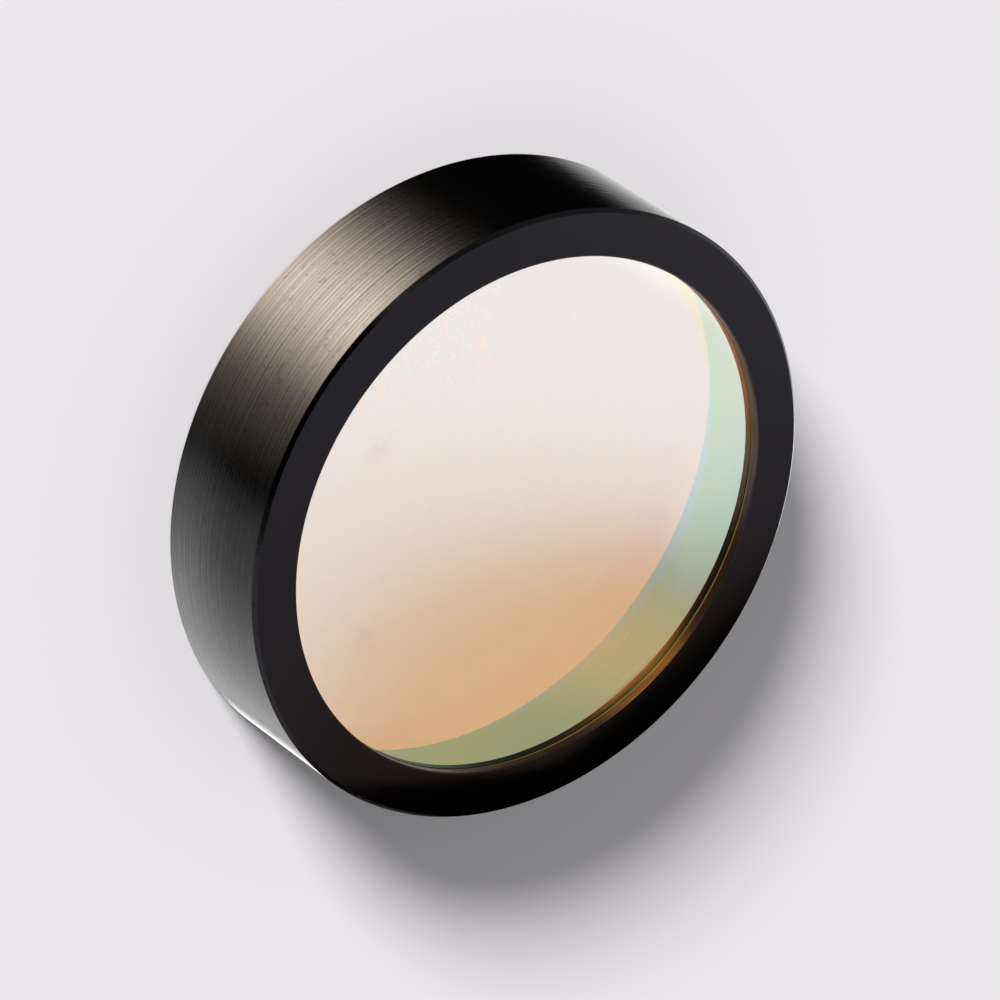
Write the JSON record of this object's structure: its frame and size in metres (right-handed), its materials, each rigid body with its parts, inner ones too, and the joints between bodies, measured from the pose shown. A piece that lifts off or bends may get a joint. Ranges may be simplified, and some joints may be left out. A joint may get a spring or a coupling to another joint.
{
  "type": "optical bandpass filter",
  "caption": "Round optical bandpass filter: a coated glass plate bonded behind the thin front lip of a black anodised ring.",
  "frame": {"origin": "centre of the ring's rear face, which the filter lies on", "axes": "+Z along the optical axis, out of the front face"},
  "size_m": [0.025, 0.025, 0.0058],
  "materials": {
    "anodised_ring": "satin black anodised, with fine turning lines",
    "coated_glass": "polished, with an interference coating: reflects pale green, passes orange-red",
    "adhesive": "cured black adhesive"
  },
  "bodies": {
    "root": {"housing": "anodised_ring", "filter_glass": "coated_glass", "edge_bond": "adhesive"}
  },
  "joints": []
}
